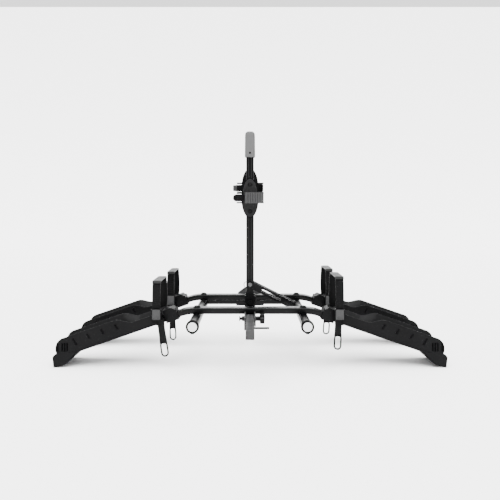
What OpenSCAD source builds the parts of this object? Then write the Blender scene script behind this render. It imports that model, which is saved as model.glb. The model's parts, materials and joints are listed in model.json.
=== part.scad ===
// Two-tray platform bike rack for a car's hitch receiver.
// X runs across the car, Y runs away from the car, Z is up. The origin is the
// point where the hitch pin's axis crosses the middle of the hitch tube.

/* [Hitch] */
// Outside width of the square hitch tube
hitch_size = 31.75; // [30:0.05:33]
// From the hitch pin to the tube's plugged front end
hitch_front = 110; // [90:1:140]
// From the hitch pin to the tilt pivot
pivot_y = 165; // [155:1:175]
// Radius of the hitch pin
hitch_pin_r = 4; // [3.5:0.5:5]

/* [Platform] */
// From the hitch pin to the mast's middle plane
mast_y = 412; // [405:1:420]
// Distance between the middles of the two trays
tray_spacing = 325; // [315:1:340]
// Distance between the middles of the two side rails
rail_spacing = 448; // [430:1:470]
// Outside radius of the side rails
rail_r = 21; // [18:0.5:22]
// Half the length of a cross tube's level middle
level_half = 264; // [255:1:280]
// Slope of the tray arms below the level
arm_slope = 19; // [17:0.5:20]
// Height of the hitch tube's axis above the ground when the rack stands on its feet
floor_drop = 203; // [200:1:205]

/* [Trays] */
// Outside width of a wheel tray
tray_w = 142; // [136:1:146]
// Height of the tray wall's crest above the arm
crest_h = 56; // [45:1:60]
// Half the width of the channel in the tray's floor
channel_half = 38; // [32:1:42]
// Width of a wheel strap
strap_w = 33; // [28:1:34]

/* [Mast] */
// Outside width of the square mast tube
mast_w = 35; // [32:0.5:36]
// Height of the mast tube's top above the hitch tube's axis
mast_top = 677; // [640:1:700]
// Height of the front frame clamp's middle
front_clamp_z = 493; // [470:1:500]
// Height of the rear frame clamp's middle
rear_clamp_z = 540; // [530:1:560]
// Length of the foam grip
grip_l = 118; // [100:1:130]

/* [Hidden] */
$fn = 48;
gap = 0.3;               // free space between surfaces that pass each other
run = 0.05;              // radial clearance of a turning pin
front_y = mast_y - tray_spacing / 2;
rear_y = mast_y + tray_spacing / 2;
rail_x = rail_spacing / 2;
rail_z = -13;
rail_front = 78;
rail_rear = rear_y + 45;
arm_w = 50;              // cross tube, along Y
arm_h = 25;              // cross tube, along Z
arm_top = 30;            // top of the level cross tube
wall = 2.5;              // wall of the square and round tubes
arm_l = 552;             // sloping arm, from its bend
spine_w = 34;
spine_h = 38;
spine_top = arm_top - arm_h;
spine_front = 196;
spine_rear = rear_y + 52;
ear_t = 6;
pivot_r = 6;
mast_pivot_z = 24;
mast_pivot_r = 6;
lock_z = 106;            // mast lock pin
lock_r = 5;
foot_x = 183;            // brace foot
foot_z = 14;
plate_t = 5;             // mast brackets and braces
wall_t = 3;              // moulded tray wall
tray_in = 98;            // tray's inner end, along the arm
tray_out = 556;          // tray's outer end, along the arm
skirt = 17;              // tray wall below the arm's top
band_t = 4;              // strap thickness
buckle_pin_z = 31;       // hinge of a wheel strap's lever
buckle_pin_out = 11;     // hinge pin's distance from the tray wall
clamp_bolt = 60;         // clamp bolts above and below a clamp's middle
pedal_y = rear_y + 43;
pedal_z = 14;
SIDES = [[-1, -1], [1, -1], [-1, 1], [1, 1]]; // left or right, front or rear tray
// How each wheel strap is set, in the order of SIDES: its distance from the middle, how far its
// tail leans inward, the height of its tail's end and the height of its loop's top.
STRAPS = [[381, 34, -158, 154], [365, 8, -130, 171], [372, 10, -174, 150], [372, 14, -147, 163]];

// Points along an arc in the plane, for outlines.
function arc(cx, cy, r, a0, a1, n = 8) =
    [for (i = [0:n]) let (a = a0 + (a1 - a0) * i / n) [cx + r * cos(a), cy + r * sin(a)]];

// A smooth rise from 0 to 1.
function ease(t) = t * t * (3 - 2 * t);

// A bar along X between two places.
module bar_x(x0, x1, r, y, z, f = $fn) {
    translate([x0, y, z]) rotate([0, 90, 0]) cylinder(h = x1 - x0, r = r, $fn = f);
}

// A bar along Y between two places.
module bar_y(y0, y1, r, x, z, f = $fn) {
    translate([x, y0, z]) rotate([-90, 0, 0]) cylinder(h = y1 - y0, r = r, $fn = f);
}

// A box between two corners.
module box(a, b) {
    translate(a) cube(b - a);
}

// An outline in X and Z, made solid between two places along Y.
module slab_y(y0, y1, points) {
    translate([0, y1, 0]) rotate([90, 0, 0]) linear_extrude(y1 - y0) polygon(points);
}

// An outline in Y and Z, made solid between two places along X.
module slab_x(x0, x1, points) {
    translate([x0, 0, 0]) rotate([90, 0, 90]) linear_extrude(x1 - x0) polygon(points);
}

// ---------- hitch and tilt pivot ----------

module stinger_tube() {
    half = hitch_size / 2;
    inner = half - 3;
    outline = concat([[-hitch_front, -half], [pivot_y, -half]], arc(pivot_y, 0, half, -85, 85, 16),
        [[pivot_y, half], [-hitch_front, half]]);
    color([0.33, 0.33, 0.34]) difference() {
        slab_x(-half, half, outline);
        box([-inner, -hitch_front - 1, -inner], [inner, pivot_y - 28, inner]);
        bar_x(-half - 1, half + 1, hitch_pin_r + 0.5 + run, 0, 0);
        bar_x(-half - 1, half + 1, pivot_r + run, pivot_y, 0);
    }
}

module stinger_plug() {
    half = hitch_size / 2;
    inner = half - 3;
    color([0.3, 0.3, 0.3]) {
        box([-inner, -hitch_front, -inner], [inner, -hitch_front + 18, inner]);
        box([-half, -hitch_front - 2.5, -half], [half, -hitch_front, half]);
    }
}

module pivot_ears() {
    outline = [[83, -4], [93, -16], [205, -16], [225, -30], [292, -30], [292, spine_top],
        [front_y - arm_w / 2 - 2, spine_top], [front_y - arm_w / 2 - 2, 14], [214, 18], [92, 18], [83, 9]];
    color([0.33, 0.33, 0.34]) for (side = [-1, 1]) difference() {
        translate([side > 0 ? 0 : -2 * spine_w / 2 - ear_t, 0, 0])
            slab_x(spine_w / 2, spine_w / 2 + ear_t, outline);
        bar_x(-60, 60, pivot_r + run, pivot_y, 0);
    }
}

module pivot_bolt() {
    color([0.1, 0.1, 0.1]) union() {
        bar_x(-41, 44, pivot_r, pivot_y, 0);
        bar_x(-44, -41, pivot_r + 4, pivot_y, 0);
    }
}

module pivot_nut() {
    color([0.12, 0.12, 0.12]) difference() {
        bar_x(-spine_w / 2 - ear_t - 9, -spine_w / 2 - ear_t, 10.5, pivot_y, 0, 6);
        bar_x(-60, 60, pivot_r + run, pivot_y, 0);
    }
}

module pivot_knob() {
    stem = spine_w / 2 + ear_t + gap;
    color([0.09, 0.09, 0.09]) difference() {
        union() {
            bar_x(stem, 40, 10, pivot_y, 0);
            bar_x(40, 60, 20, pivot_y, 0);
            for (i = [0:5])
                bar_x(40, 60, 5.5, pivot_y + 18 * cos(60 * i), 18 * sin(60 * i), 32);
        }
        bar_x(0, 44, pivot_r, pivot_y, 0);
    }
}

// The pin is a little thicker inside the hitch tube than at its free end.
module hitch_pin() {
    color([0.12, 0.12, 0.12]) difference() {
        union() {
            bar_x(-18, 17, hitch_pin_r + 0.5, 0, 0);
            bar_x(17, 72, hitch_pin_r, 0, 0);
        }
        bar_y(-10, 10, 1.2, 66, 0, 16);
    }
}

module hitch_pin_head() {
    color([0.08, 0.08, 0.08]) difference() {
        bar_x(-22, -hitch_size / 2 - gap, 8.5, 0, 0, 6);
        bar_x(-18, 0, hitch_pin_r + 0.5, 0, 0);
    }
}

// ---------- platform ----------

module spine_tube() {
    half = spine_w / 2;
    bottom = spine_top - spine_h;
    color([0.08, 0.08, 0.08]) difference() {
        box([-half, spine_front, bottom], [half, spine_rear, spine_top]);
        box([-half + 3, spine_front - 1, bottom + 3], [half - 3, spine_rear + 1, spine_top - 3]);
    }
}

module spine_plug() {
    half = spine_w / 2;
    bottom = spine_top - spine_h;
    color([0.15, 0.15, 0.15]) {
        box([-half + 3, spine_rear - 12, bottom + 3], [half - 3, spine_rear, spine_top - 3]);
        box([-half, spine_rear, bottom], [half, spine_rear + 3, spine_top]);
    }
}

module side_rail(side) {
    color([0.09, 0.09, 0.09]) difference() {
        bar_y(rail_front, rail_rear, rail_r, side * rail_x, rail_z);
        bar_y(rail_front - 1, rail_rear + 1, rail_r - wall, side * rail_x, rail_z);
        for (y = [front_y, rear_y])
            translate([side * rail_x, y, rail_z]) cylinder(h = rail_r + 5, r = 5.2);
    }
}
module side_rail_left() side_rail(-1);
module side_rail_right() side_rail(1);

module rail_rings() {
    ring_r = rail_r + 5;
    color([0.06, 0.06, 0.06]) for (side = [-1, 1]) translate([side * rail_x, rail_front + 6, rail_z])
        rotate([90, 0, 0]) difference() {
            union() {
                cylinder(h = 14, r = ring_r);
                translate([-11, -ring_r - 2, 0]) cube([22, 10, 14]);
            }
            translate([0, 0, -1]) cylinder(h = 7, r = rail_r);
            translate([0, 0, -1]) cylinder(h = 16, r = rail_r - 2);
        }
}

module rail_discs() {
    color([0.8, 0.8, 0.8]) for (side = [-1, 1]) translate([side * rail_x, rail_front + 2, rail_z])
        rotate([90, 0, 0]) {
            cylinder(h = 10, r = rail_r - 2.6);
            translate([0, 0, 10]) cylinder(h = 2, r = rail_r + 0.5);
        }
}

module rail_plugs() {
    color([0.07, 0.07, 0.07]) for (side = [-1, 1])
        translate([side * rail_x, rail_rear - 12, rail_z]) rotate([-90, 0, 0]) {
            cylinder(h = 12, r = rail_r - wall);
            translate([0, 0, 12]) cylinder(h = 4, r = rail_r);
        }
}

module rear_member() {
    inner = spine_w / 2 + 0.2;
    color([0.1, 0.1, 0.1]) for (side = [-1, 1]) difference() {
        union() {
            box([min(side * inner, side * rail_x), rear_y - 15, -16],
                [max(side * inner, side * rail_x), rear_y + 15, 3]);
            box([min(side * inner, side * 66), rear_y - 20, -22],
                [max(side * inner, side * 66), rear_y + 15, 3]);
        }
        bar_y(rear_y - 30, rear_y + 30, rail_r + 0.1, side * rail_x, rail_z);
    }
}

// One cross tube: a level middle with an arm sloping down at each end, hollow,
// coped over the side rails and drilled for the saddle bolts.
module cross_tube(y) {
    y0 = y - arm_w / 2;
    y1 = y + arm_w / 2;
    drop = arm_l * sin(arm_slope);
    reach = level_half + arm_l * cos(arm_slope);
    bend = arm_h * tan(arm_slope / 2);
    low = arm_top - arm_h;
    outer = [[-level_half, arm_top], [level_half, arm_top], [reach, arm_top - drop],
        [reach - arm_h * sin(arm_slope), arm_top - drop - arm_h * cos(arm_slope)],
        [level_half - bend, low], [-level_half + bend, low],
        [-reach + arm_h * sin(arm_slope), arm_top - drop - arm_h * cos(arm_slope)], [-reach, arm_top - drop]];
    color([0.07, 0.07, 0.07]) difference() {
        slab_y(y0, y1, outer);
        for (side = [-1, 1]) {
            translate([side * level_half, y, arm_top]) rotate([0, side * arm_slope, 0])
                translate([side > 0 ? 2 : -arm_l - 1, -arm_w / 2 + wall, -arm_h + wall])
                    cube([arm_l - 1, arm_w - 2 * wall, arm_h - 2 * wall]);
            bar_y(y0 - 1, y1 + 1, rail_r + 0.1, side * rail_x, rail_z);
            translate([side * rail_x, y, low - 1]) cylinder(h = arm_h + 2, r = 5.2);
        }
        box([-rail_x + 24, y0 + wall, low + wall], [rail_x - 24, y1 - wall, arm_top - wall]);
    }
}
module front_cross_tube() cross_tube(front_y);
module rear_cross_tube() cross_tube(rear_y);

module saddle_bolts() {
    color([0.5, 0.5, 0.5]) for (side = [-1, 1], y = [front_y, rear_y])
        translate([side * rail_x, y, rail_z]) cylinder(h = arm_top - rail_z + 2, r = 5);
}

module bolt_caps() {
    color([0.12, 0.12, 0.12]) for (side = [-1, 1], y = [front_y, rear_y])
        translate([side * rail_x, y, arm_top]) difference() {
            intersection() {
                cylinder(h = 8, r = 16.5);
                translate([0, 0, -14]) sphere(r = 22);
            }
            translate([0, 0, -1]) cylinder(h = 3, r = 5.2);
        }
}

module tilt_pedal() {
    outline = [[-11.5, 0], [11.5, 0], [11.5, 11], [60, 11], [60, 17], [52, 25], [28, 44], [20, 48],
        [-20, 48], [-28, 44], [-52, 25], [-60, 17], [-60, 11], [-11.5, 11]];
    color([0.35, 0.35, 0.35]) difference() {
        translate([0, pedal_y, pedal_z]) union() {
            rotate([-35, 0, 0]) slab_y(-3, 3, outline);
            bar_x(-12, 12, 6.5, 0, 0);
        }
        bar_x(-20, 20, 3 + run, pedal_y, pedal_z);
    }
}

module pedal_bracket() {
    color([0.08, 0.08, 0.08]) for (side = [-1, 1]) difference() {
        box([min(side * 12.5, side * 16.5), pedal_y - 7, spine_top], [max(side * 12.5, side * 16.5), pedal_y + 7, pedal_z + 6]);
        bar_x(-20, 20, 3 + run, pedal_y, pedal_z);
    }
}

module pedal_pin() {
    color([0.5, 0.5, 0.5]) bar_x(-18, 18, 3, pedal_y, pedal_z);
}

// ---------- mast foot and brace ----------

// Both mast bracket plates and both brace plates stand this far from the mast's middle plane.
plate_in = mast_w / 2 + 0.5;

module mast_bracket() {
    outline = concat([[-24, spine_top], [24, spine_top], [24, 48]], arc(15, 48, 9, 0, 90, 4),
        arc(-15, 48, 9, 90, 180, 4));
    color([0.07, 0.07, 0.07]) for (side = [-1, 1]) difference() {
        slab_y(side > 0 ? mast_y + plate_in : mast_y - plate_in - plate_t,
            side > 0 ? mast_y + plate_in + plate_t : mast_y - plate_in, outline);
        bar_y(mast_y - 60, mast_y + 60, mast_pivot_r + run, 0, mast_pivot_z);
    }
}

module mast_pivot_bolt() {
    end = plate_in + plate_t;
    color([0.3, 0.3, 0.3]) union() {
        bar_y(mast_y - end - 2, mast_y + end + 8, mast_pivot_r, 0, mast_pivot_z);
        bar_y(mast_y - end - 7, mast_y - end - 0.2, 10, 0, mast_pivot_z, 6);
        bar_y(mast_y + end + 0.2, mast_y + end + 7, 10, 0, mast_pivot_z, 6);
    }
}

// A brace plate runs from a hook round the lock pin to the brace foot, with a long slot.
module brace_plates() {
    dx = foot_x;
    dz = foot_z - lock_z;
    l = sqrt(dx * dx + dz * dz);
    tilt = atan2(-dz, dx);
    color([0.08, 0.08, 0.08]) for (side = [-1, 1]) difference() {
        translate([0, side > 0 ? mast_y + plate_in : mast_y - plate_in - plate_t, lock_z])
            rotate([0, tilt, 0]) difference() {
                union() {
                    translate([0, 0, -16]) cube([l, plate_t, 32]);
                    translate([0, plate_t, 0]) rotate([90, 0, 0]) cylinder(h = plate_t, r = 16);
                    translate([l, plate_t, 0]) rotate([90, 0, 0]) cylinder(h = plate_t, r = 16);
                }
                translate([64, -1, -5]) cube([86, plate_t + 2, 10]);
                for (x = [64, 150])
                    translate([x, plate_t + 1, 0]) rotate([90, 0, 0]) cylinder(h = plate_t + 2, r = 5);
            }
        bar_y(mast_y - 60, mast_y + 60, 7, 0, lock_z);
        box([-30, mast_y - 60, lock_z - 7], [0, mast_y + 60, lock_z + 7]);
        bar_y(mast_y - 60, mast_y + 60, 5.2, foot_x, foot_z);
    }
}

module brace_foot() {
    color([0.09, 0.09, 0.09]) difference() {
        box([foot_x - 16, mast_y - mast_w / 2, -6], [rail_x, mast_y + mast_w / 2, foot_z + 12]);
        box([foot_x - 20, mast_y - mast_w / 2 + 5, -1], [rail_x + 1, mast_y + mast_w / 2 - 5, foot_z + 20]);
        box([foot_x + 22, mast_y - 30, rail_z + rail_r], [rail_x + 1, mast_y + 30, foot_z + 20]);
        bar_y(mast_y - 60, mast_y + 60, rail_r + 0.1, rail_x, rail_z);
        bar_y(mast_y - 60, mast_y + 60, 5.2, foot_x, foot_z);
    }
}

module brace_bolt() {
    end = plate_in + plate_t;
    color([0.4, 0.4, 0.4]) union() {
        bar_y(mast_y - end - 2, mast_y + end + 8, 5, foot_x, foot_z);
        bar_y(mast_y - end - 6, mast_y - end, 9, foot_x, foot_z, 6);
        bar_y(mast_y + end, mast_y + end + 6, 9, foot_x, foot_z, 6);
    }
}

// ---------- mast ----------

module mast_tube() {
    half = mast_w / 2;
    inner = half - wall;
    color([0.07, 0.07, 0.07]) difference() {
        union() {
            box([-half, mast_y - half, mast_pivot_z], [half, mast_y + half, mast_top]);
            bar_y(mast_y - half, mast_y + half, half, 0, mast_pivot_z);
        }
        box([-inner, mast_y - inner, mast_pivot_z + 16], [inner, mast_y + inner, mast_top + 1]);
        bar_y(mast_y - 30, mast_y + 30, mast_pivot_r + run, 0, mast_pivot_z);
        bar_y(mast_y - 30, mast_y + 30, lock_r + run, 0, lock_z);
        for (z = [-clamp_bolt, clamp_bolt]) {
            bar_y(mast_y - 30, mast_y, 4.2, 0, front_clamp_z + z);
            bar_y(mast_y, mast_y + 30, 4.2, 0, rear_clamp_z + z);
        }
        // shallow grooves run up the front and rear faces
        for (side = [-1, 1], x = [-6.5, 6.5])
            box([x - 1.5, mast_y + side * half - 0.8, lock_z + 40], [x + 1.5, mast_y + side * half + 0.8, mast_top + 1]);
    }
}

module mast_core() {
    inner = mast_w / 2 - wall;
    color([0.2, 0.2, 0.2]) union() {
        box([-inner, mast_y - inner, mast_top - 40], [inner, mast_y + inner, mast_top]);
        translate([0, mast_y, mast_top]) cylinder(h = grip_l - 14, r = 14);
    }
}

module handle_grip() {
    r = 23;
    color([0.55, 0.55, 0.55]) translate([0, mast_y, mast_top]) difference() {
        rotate_extrude() polygon(concat([[0, 0], [r - 1, 0], [r, 3]],
            arc(r - 19, grip_l - 19, 19, 0, 90, 10), [[0, grip_l]]));
        translate([0, 0, -1]) cylinder(h = grip_l - 13, r = 14);
    }
}

module lock_pin() {
    color([0.25, 0.25, 0.25]) difference() {
        union() {
            bar_y(mast_y - 33, mast_y + 30, lock_r, 0, lock_z);
            bar_y(mast_y - 41, mast_y - 33, 9, 0, lock_z);
        }
        at_lock_ring() rotate_extrude($fn = 40) translate([13.5, 0]) circle(r = 1.8, $fn = 16);
    }
}

// The wire ring hangs to the left, through the pin's head.
module at_lock_ring() {
    translate([-13.5, mast_y - 37, lock_z]) rotate([90, 0, 0]) children();
}

module lock_ring() {
    color([0.3, 0.3, 0.3]) at_lock_ring()
        rotate_extrude($fn = 40) translate([13.5, 0]) circle(r = 1.5, $fn = 16);
}

// ---------- frame clamps ----------

// face is -1 for the clamp on the mast's front face and 1 for the rear one.
// Clamp parts are drawn for the front one, at the clamp's middle, with Y = 0 on the mast's face
// and -Y away from the mast.
module place_clamp(face) {
    translate([0, mast_y + face * mast_w / 2, face < 0 ? front_clamp_z : rear_clamp_z])
        mirror([0, face > 0 ? 1 : 0, 0]) children();
}

// A tall rounded outline, w wide and h high, as an ellipse.
function oval(w, h) = [for (i = [0:47]) [w / 2 * cos(7.5 * i), h / 2 * sin(7.5 * i)]];

module clamp_plate(face) {
    color([0.05, 0.05, 0.05]) place_clamp(face) difference() {
        union() {
            slab_y(-7, -gap / 3, oval(78, 180));
            for (x = [-1, 1], z = [-1, 1])
                box([x > 0 ? 32 : -60, -26, z > 0 ? 18 : -24], [x > 0 ? 62 : -32, -0.5, z > 0 ? 24 : -18]);
        }
        for (z = [-clamp_bolt, clamp_bolt]) bar_y(-20, 1, 4.2, 0, z);
    }
}
module front_clamp_plate() clamp_plate(-1);
module rear_clamp_plate() clamp_plate(1);

module clamp_pad(face) {
    color([0.3, 0.3, 0.3]) place_clamp(face) difference() {
        slab_y(-17, -7, oval(68, 170));
        for (z = [-clamp_bolt, clamp_bolt]) bar_y(-20, 1, 4.2, 0, z);
        for (z = [-clamp_bolt, clamp_bolt]) bar_y(-20, -12, 9, 0, z);
        for (x = [-1, 1], z = [-1, 1])
            box([x > 0 ? 31.8 : -61, -27, z > 0 ? 17.8 : -24.2], [x > 0 ? 63 : -31.8, 0, z > 0 ? 24.2 : -17.8]);
    }
}
module front_clamp_pad() clamp_pad(-1);
module rear_clamp_pad() clamp_pad(1);

module clamp_bolts() {
    color([0.15, 0.15, 0.15]) for (face = [-1, 1]) place_clamp(face)
        for (z = [-clamp_bolt, clamp_bolt]) union() {
            bar_y(-13, 8, 4, 0, z);
            bar_y(-16.5, -12.1, 8, 0, z);
        }
}

// The strap comes forward from the right-hand tabs, turns and runs across to its tail.
module clamp_strap(face) {
    out = [[58, -3], [62, -3], [62, -34], [61, -40], [58, -44], [53, -46], [-76, -46], [-76, -43],
        [51, -43], [55, -41.5], [57.5, -38], [58, -34]];
    color([0.06, 0.06, 0.06]) place_clamp(face) difference() {
        translate([0, 0, -15.5]) linear_extrude(31) polygon(out);
        for (z = [-1, 1]) difference() {
            translate([-78, -50, z > 0 ? 0 : -20]) cube([18, 10, 20]);
            translate([-60.5, -50, 0]) rotate([-90, 0, 0]) cylinder(h = 10, r = 15.5);
        }
    }
}
module front_clamp_strap() clamp_strap(-1);
module rear_clamp_strap() clamp_strap(1);

// The buckle's frame: a floor under the strap and two cheeks that hold the lever's pin.
module clamp_buckle(face) {
    color([0.1, 0.1, 0.1]) place_clamp(face) union() {
        box([-24, -42.9, -19], [30, -40, 19]);
        for (z = [-19, 16]) {
            box([-22.5, -51.5, z], [0, -40, z + 3]);
            box([-18, -56, z], [0, -51.5, z + 3]);
            translate([-18, -51.5, z]) cylinder(h = 3, r = 4.5);
        }
        translate([-18, -51.5, -22]) cylinder(h = 44, r = 2.5);
    }
}
module front_clamp_buckle() clamp_buckle(-1);
module rear_clamp_buckle() clamp_buckle(1);

// The lever covers the buckle and is ribbed across for the thumb.
module clamp_lever(face) {
    color([0.42, 0.42, 0.42]) place_clamp(face) difference() {
        union() {
            box([-23, -60, -24], [60, -56.5, 24]);
            for (i = [0:8]) box([-20 + 8 * i, -61.5, -23], [-16 + 8 * i, -60, 23]);
            for (z = [-1, 1])
                box([-23, -60, z > 0 ? 19.4 : -24], [60, -47, z > 0 ? 24 : -19.4]);
        }
        translate([-18, -51.5, -30]) cylinder(h = 60, r = 2.5 + run);
    }
}
module front_clamp_lever() clamp_lever(-1);
module rear_clamp_lever() clamp_lever(1);

// ---------- trays ----------

// Puts what is drawn along an arm (X outward, Z up from the arm's top, Y from the tray's middle)
// at a tray's place.
module on_arm(side, end) {
    translate([0, end < 0 ? front_y : rear_y, 0]) mirror([side < 0 ? 1 : 0, 0, 0])
        translate([level_half, 0, arm_top]) rotate([0, arm_slope, 0]) children();
}

// The tray wall's outline along the arm: low beside the strap, rising to the crest, with a
// rounded outer corner. in makes it smaller all round.
function tray_outline(in, base) = concat(
    [[tray_in + in, base], [tray_in + in, 25 - in]],
    [for (i = [0:10]) [215 + 7.5 * i, 25 - in + (crest_h - 25) * ease(i / 10)]],
    arc(tray_out - in - 44, crest_h - in - 44, 44, 90, 8, 8),
    [[tray_out - in, base]]);

// The tray is a moulded shell: upright outer walls, inner sides that slope down to a channel,
// and hollow underneath.
module tray(side, end) {
    half = tray_w / 2;
    in = half - wall_t;
    slope = (in - channel_half) / (crest_h - wall_t);
    under = channel_half + 1.8;
    color([0.1, 0.1, 0.1]) on_arm(side, end) difference() {
        slab_y(-half, half, tray_outline(0, -skirt));
        slab_x(tray_in - 1, tray_out - wall_t, [[-channel_half, wall_t], [channel_half, wall_t],
            [in, crest_h], [in, 90], [-in, 90], [-in, crest_h]]);
        box([tray_in - 1, -in, -skirt - 1], [tray_out + 1, in, 0]);
        for (y = [-1, 1]) intersection() {
            slab_x(tray_in - 1, tray_out - wall_t, [[y * under, -1], [y * in, -1],
                [y * in, (in - under) / slope - 0.1]]);
            slab_y(-half, half, tray_outline(wall_t, -skirt));
        }
        for (i = [0:3], y = [-1, 1])
            translate([289 + 60 * i, y * half, 29]) rotate([0, 12, 0])
                translate([-2.5, -2, -9]) cube([5, 4, 18]);
    }
}
module tray_front_left() tray(-1, -1);
module tray_front_right() tray(1, -1);
module tray_rear_left() tray(-1, 1);
module tray_rear_right() tray(1, 1);

// The end feet stand on the ground. Their outline is level with the ground, not with the arm,
// and they are hollow, open where the tray closes them.
module tray_feet() {
    half = tray_w / 2 + 1;
    outline = [[808, 42], [800, 52], [770, 62], [706, 60], [758, 10], [803, 0]];
    hollow = [[803, 41], [797, 47], [772, 80], [722, 80], [722, 49], [760, 14], [800, 6]];
    low = [for (p = outline) [p[0], p[1] - floor_drop]];
    pocket = [for (p = hollow) [p[0], p[1] - floor_drop]];
    color([0.12, 0.12, 0.12]) for (s = SIDES) difference() {
        translate([0, s[1] < 0 ? front_y : rear_y, 0]) mirror([s[0] < 0 ? 1 : 0, 0, 0]) difference() {
            slab_y(-half, half, low);
            for (x = [-1, 1])
                slab_y(x < 0 ? -half + 4 : 2, x < 0 ? -2 : half - 4, pocket);
        }
        on_arm(s[0], s[1]) box([400, -100, -skirt - 0.1], [tray_out + 0.2, 100, 200]);
        on_arm(s[0], s[1]) box([400, -arm_w / 2 - 0.2, -arm_h - 0.2], [arm_l + 2, arm_w / 2 + 0.2, 200]);
    }
}

module tray_collars() {
    color([0.11, 0.11, 0.11]) for (s = SIDES) on_arm(s[0], s[1]) difference() {
        slab_y(-34, 34, [[44, -31], [tray_in - 0.5, -31], [tray_in - 0.5, 24], [60, 24], [50, 13], [44, 12]]);
        box([0, -arm_w / 2 - 0.1, -arm_h - 0.1], [200, arm_w / 2 + 0.1, 0.1]);
    }
}

module tray_screws() {
    color([0.5, 0.5, 0.5]) for (s = SIDES, u = [160, 340, 500]) on_arm(s[0], s[1])
        translate([u, 0, wall_t]) difference() {
            cylinder(h = 3, r = 7);
            translate([0, 0, 1.5]) cylinder(h = 3, r = 3, $fn = 6);
        }
}

// ---------- wheel straps ----------

function strap_of(side, end) = STRAPS[(side > 0 ? 1 : 0) + (end > 0 ? 2 : 0)];

// Strap parts are drawn for the near side of a front tray, with Y = 0 on the tray's outer wall
// and -Y outward.
module at_strap(side, end) {
    translate([side * strap_of(side, end)[0], (end < 0 ? front_y : rear_y) - tray_w / 2, 0])
        mirror([side < 0 ? 1 : 0, 0, 0]) children();
}

// The loop stands up round the wheel: near leg, flat top and far leg, with a tail that hangs
// inward below the buckle, widens a little and has a long finger hole at its end.
module strap(side, end) {
    set = strap_of(side, end);
    near = -0.4;
    far = tray_w + 0.4;
    near_r = 12;
    far_r = 22;
    top = set[3] - 3;
    tail_top = -36;
    end_r = 16;
    hole_r = 10.5;
    hole_l = 29;
    end_z = set[2] + end_r;
    lean = set[1];
    tilt = atan(lean / (tail_top - end_z));
    ring_top = [-lean + hole_l * sin(tilt), end_z + hole_l * cos(tilt)];
    ring_half = [end_r * cos(tilt), -end_r * sin(tilt)];
    hs = strap_w / 2;
    color([0.07, 0.07, 0.07]) at_strap(side, end) union() {
        difference() {
            slab_x(-hs, hs, concat([[near - band_t, tail_top]],
                arc(near - band_t + near_r, top - near_r, near_r, 180, 90, 8),
                arc(far + band_t - far_r, top - far_r, far_r, 90, 0, 8),
                [[far + band_t, -4], [far, -4]],
                arc(far + band_t - far_r, top - far_r, far_r - band_t, 0, 90, 8),
                arc(near - band_t + near_r, top - near_r, near_r - band_t, 90, 180, 8), [[near, tail_top]]));
            for (z = [32, 14]) bar_y(far - 5, far + band_t + 5, 4, 0, z);
        }
        difference() {
            slab_y(near - band_t, near, concat([[-hs, tail_top], ring_top - ring_half],
                arc(-lean, end_z, end_r, 180 - tilt, 360 - tilt, 12), [ring_top + ring_half, [hs, tail_top]]));
            translate([-lean, near - 2, end_z]) rotate([0, tilt, 0]) {
                for (z = [0, hole_l]) bar_y(-3, 3, hole_r, 0, z, 32);
                box([-hole_r, -3, 0], [hole_r, 3, hole_l]);
            }
        }
    }
}
module strap_front_left() strap(-1, -1);
module strap_front_right() strap(1, -1);
module strap_rear_left() strap(-1, 1);
module strap_rear_right() strap(1, 1);

// Buckle cheeks stand on the tray wall either side of the strap and carry the lever's pin.
module strap_buckles() {
    cheek = strap_w / 2 + 0.6;
    color([0.15, 0.15, 0.15]) for (s = SIDES) at_strap(s[0], s[1]) union() {
        for (x = [-1, 1])
            box([x > 0 ? cheek : -cheek - 2.4, -buckle_pin_out - 4, -10],
                [x > 0 ? cheek + 2.4 : -cheek, -0.05, buckle_pin_z + 5]);
        bar_x(-cheek - 1, cheek + 1, 2, -buckle_pin_out, buckle_pin_z, 24);
        box([-cheek, -buckle_pin_out - 4, -10], [cheek, -buckle_pin_out - 1, -6]);
    }
}

module strap_lever(side, end) {
    half = strap_w / 2 + 0.2;
    color([0.5, 0.5, 0.5]) at_strap(side, end) difference() {
        union() {
            box([-half, -buckle_pin_out - 4.5, -5.5], [half, -buckle_pin_out - 0.5, buckle_pin_z]);
            bar_x(-half, half, 4.5, -buckle_pin_out, buckle_pin_z, 32);
        }
        bar_x(-half - 1, half + 1, 2 + run, -buckle_pin_out, buckle_pin_z, 24);
    }
}
module lever_front_left() strap_lever(-1, -1);
module lever_front_right() strap_lever(1, -1);
module lever_rear_left() strap_lever(-1, 1);
module lever_rear_right() strap_lever(1, 1);

stinger_tube();
stinger_plug();
pivot_ears();
pivot_bolt();
pivot_nut();
pivot_knob();
hitch_pin();
hitch_pin_head();
spine_tube();
spine_plug();
side_rail_left();
side_rail_right();
rail_rings();
rail_discs();
rail_plugs();
rear_member();
front_cross_tube();
rear_cross_tube();
saddle_bolts();
bolt_caps();
tilt_pedal();
pedal_bracket();
pedal_pin();
mast_bracket();
mast_pivot_bolt();
brace_plates();
brace_foot();
brace_bolt();
mast_tube();
mast_core();
handle_grip();
lock_pin();
lock_ring();
front_clamp_plate();
front_clamp_pad();
front_clamp_strap();
front_clamp_buckle();
front_clamp_lever();
rear_clamp_plate();
rear_clamp_pad();
rear_clamp_strap();
rear_clamp_buckle();
rear_clamp_lever();
clamp_bolts();
tray_front_left();
tray_front_right();
tray_rear_left();
tray_rear_right();
tray_feet();
tray_collars();
tray_screws();
strap_buckles();
strap_front_left();
strap_front_right();
strap_rear_left();
strap_rear_right();
lever_front_left();
lever_front_right();
lever_rear_left();
lever_rear_right();
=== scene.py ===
"""Two-bike hitch rack: the visible surfaces and finishes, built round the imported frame."""

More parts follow.
